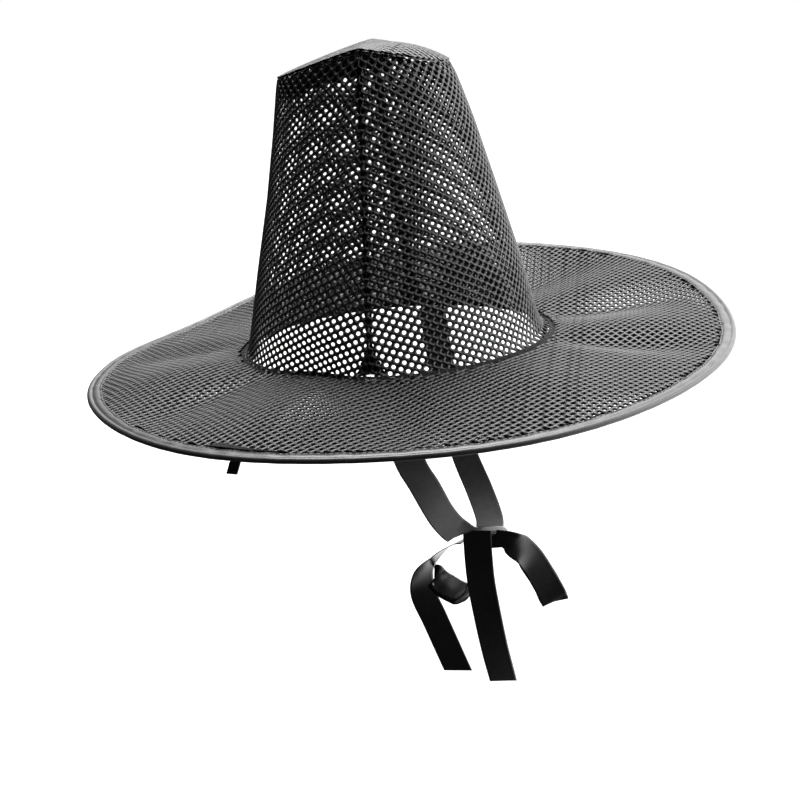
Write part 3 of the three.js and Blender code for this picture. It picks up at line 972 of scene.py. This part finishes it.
def ribbon_material():
    """Black satin of the bow."""
    material, tree, shader = new_material("satin", (0.01, 0.01, 0.01), 0.3, 0.5)
    color_between(tree, shader, noise(tree, 300.0), (0.005, 0.005, 0.006), (0.01, 0.01, 0.011))
    add_bump(tree, shader, noise(tree, 1200.0), 0.0001, 0.25)
    return material


def strap_material():
    """Rougher face of the ribbon for the straps, with painted light: its colour is lighter than the
    bow's satin, standing in for the light that falls on the straps.
    """
    material, tree, shader = new_material("satin_dull_painted_lit", (0.05, 0.05, 0.052), 0.6, 0.3)
    # Painted light: these shades are lighter than the satin's, for the light on the straps
    color_between(tree, shader, noise(tree, 300.0), (0.07, 0.07, 0.072), (0.085, 0.085, 0.088))
    add_bump(tree, shader, noise(tree, 1200.0), 0.0001, 0.25)
    return material


def thread_material():
    """Black sewing thread."""
    material, tree, shader = new_material("sewing_thread", (0.02, 0.02, 0.02), 0.5, 0.4)
    color_between(tree, shader, noise(tree, 2000.0), (0.012, 0.012, 0.012), (0.03, 0.03, 0.03))
    return material


def floor_material():
    """Pale floor that glows enough to look white."""
    material, tree, shader = new_material("floor_paint", (0.3, 0.3, 0.3), 0.9, 0.1)
    color_between(tree, shader, noise(tree, 3.0), (0.28, 0.28, 0.28), (0.32, 0.32, 0.32))
    shader.inputs["Emission Color"].default_value = (1, 1, 1, 1)
    shader.inputs["Emission Strength"].default_value = 1.0
    return material


# Camera and studio

def camera():
    """Camera at the wearer's right, rolled a little."""
    data = bpy.data.cameras.new("camera")
    data.lens = CAMERA_LENS
    data.sensor_width = CAMERA_SENSOR
    data.clip_start = CAMERA_NEAREST
    thing = bpy.data.objects.new("camera", data)
    bpy.context.scene.collection.objects.link(thing)
    backward = (CAMERA_PLACE - CAMERA_AIM).normalized()
    rightward = Vector((0, 0, 1)).cross(backward).normalized()
    upward = backward.cross(rightward)
    level = Matrix((rightward, upward, backward)).transposed().to_4x4()
    roll = Matrix.Rotation(CAMERA_ROLL, 4, "Z")
    thing.matrix_world = Matrix.Translation(CAMERA_PLACE) @ level @ roll
    bpy.context.scene.camera = thing


def soft_box(name, place, width, power):
    """Square area light that faces the origin and can't be seen itself."""
    data = bpy.data.lights.new(name, "AREA")
    data.energy = power
    data.shape = "RECTANGLE"
    data.size = width
    data.size_y = width
    thing = bpy.data.objects.new(name, data)
    thing.location = place
    thing.rotation_euler = (-Vector(place)).to_track_quat("-Z", "Y").to_euler()
    thing.visible_camera = False
    bpy.context.scene.collection.objects.link(thing)


def room():
    """Bright behind the hat, dim on the camera's side, and plain white to the camera itself."""
    world = bpy.data.worlds.new("studio")
    world.use_nodes = True
    tree = world.node_tree
    light = tree.nodes["Background"]
    light.inputs["Color"].default_value = (1, 1, 1, 1)
    direction = tree.nodes.new("ShaderNodeTexCoord")
    facing = tree.nodes.new("ShaderNodeVectorMath")
    facing.operation = "DOT_PRODUCT"
    facing.inputs[1].default_value = ROOM_BRIGHT_SIDE
    ramp = tree.nodes.new("ShaderNodeMapRange")
    ramp.interpolation_type = "SMOOTHSTEP"
    ramp.inputs["From Min"].default_value = ROOM_FADE_START
    ramp.inputs["From Max"].default_value = ROOM_FADE_END
    ramp.inputs["To Min"].default_value = ROOM_NEAR
    ramp.inputs["To Max"].default_value = ROOM_FAR
    tree.links.new(direction.outputs["Generated"], facing.inputs[0])
    tree.links.new(facing.outputs["Value"], ramp.inputs["Value"])
    tree.links.new(ramp.outputs["Result"], light.inputs["Strength"])
    backdrop = tree.nodes.new("ShaderNodeBackground")
    backdrop.inputs["Color"].default_value = (1, 1, 1, 1)
    path = tree.nodes.new("ShaderNodeLightPath")
    mix = tree.nodes.new("ShaderNodeMixShader")
    tree.links.new(path.outputs["Is Camera Ray"], mix.inputs["Fac"])
    tree.links.new(light.outputs["Background"], mix.inputs[1])
    tree.links.new(backdrop.outputs["Background"], mix.inputs[2])
    tree.links.new(mix.outputs["Shader"], tree.nodes["World Output"].inputs["Surface"])
    bpy.context.scene.world = world


def studio():
    """Room, soft boxes and a plain floor."""
    room()
    bpy.context.scene.view_settings.view_transform = "Standard"
    for name, place, width, power in SOFT_BOXES:
        soft_box(name, place, width, power)
    corners = [(-1, -1), (1, -1), (1, 1), (-1, 1)]
    points = [(x * FLOOR_REACH / MM, y * FLOOR_REACH / MM, FLOOR_HEIGHT / MM) for x, y in corners]
    floor = new_object("floor", points, [(0, 1, 2, 3)], floor_material(), smooth=False)
    floor.visible_diffuse = False
    floor.visible_glossy = False


# Putting the pieces on the hat

def put(thing, slot, *nodes):
    """The piece rides with the hat and stands for its solids."""
    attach(thing, "root")
    if nodes:
        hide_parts(*nodes)


def hang_ribbon(name, node, route, rests_on, material, **shape):
    """Ribbon that stands for a solid and is as long as its route."""
    thing = ribbon_strip(name, route, material, **shape)
    put(thing, "satin_ribbon", node)


camera()
net = net_material()
seam = seam_material()
tape = tape_material()
satin = ribbon_material()
satin_painted_lit = strap_material()
thread = thread_material()
studio()

for name, node, middle_angle in PANELS:
    panel = crown_netting(name, middle_angle, net)
    put(panel, "mesh_cloth", node)
top = top_netting("top_netting", net)
put(top, "mesh_cloth", "crown_top")

edge = binding("edge_binding", tape)
put(edge, "binding_tape", "brim_binding")
upper_stitches = binding_stitches("binding_stitches_upper", 1, thread)
lower_stitches = binding_stitches("binding_stitches_lower", -1, thread)
# The opening wears the dull seam cloth, darker than the tape: painted shade
opening = tape_opening("tape_opening", seam)
for thing in (upper_stitches, lower_stitches, opening):
    put(thing, "binding_tape")
foot_stitches = base_stitches("base_stitches", thread)
put(foot_stitches, "mesh_cloth")

brim_upper = brim_netting("brim_netting_upper", LAYER_LIFT, 0.0, (0, 0), net)
lower_grain = (LOWER_GRAIN_TURN, LOWER_GRAIN_SHIFT)
brim_lower = brim_netting("brim_netting_lower", -LAYER_LIFT, *lower_grain, net)
put(brim_upper, "mesh_cloth", "brim")
put(brim_lower, "mesh_cloth", "brim")

for name, start, end, height, layer in ALLOWANCES:
    put(allowance_strip(name, start, end, height, layer, seam), "mesh_cloth")
put(base_joint("base_joint", seam), "mesh_cloth", "base_seam")
for name, node, angle, half_wide in SEAM_STRIPS:
    put(seam_strip(name, angle, half_wide, seam), "mesh_cloth", node)

# The straps wear the lighter copy of the satin: painted light
hang_ribbon("right_strap", "strap_right", STRAP_RIGHT_ROUTE, "base_joint", satin_painted_lit)
hang_ribbon("left_strap", "strap_left", STRAP_LEFT_ROUTE, "base_joint", satin_painted_lit)
put(knot("knot_wrap", satin), "satin_ribbon", "bow_knot")
front_loop = {"columns": 220, "pinch": 0.4, "pleats": 2}
hang_ribbon("front_loop", "bow_loop_front", LOOP_FRONT_ROUTE, "knot_wrap", satin, **front_loop)
hang_ribbon("back_loop", "bow_loop_back", LOOP_BACK_ROUTE, "knot_wrap", satin, columns=240)
hang_ribbon("front_tail", "bow_tail_front", TAIL_FRONT_ROUTE, "knot_wrap", satin, cut=-0.06)
hang_ribbon("back_tail", "bow_tail_back", TAIL_BACK_ROUTE, "knot_wrap", satin, cut=-0.05)

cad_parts["binding_end"].data.materials.clear()
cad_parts["binding_end"].data.materials.append(seam)
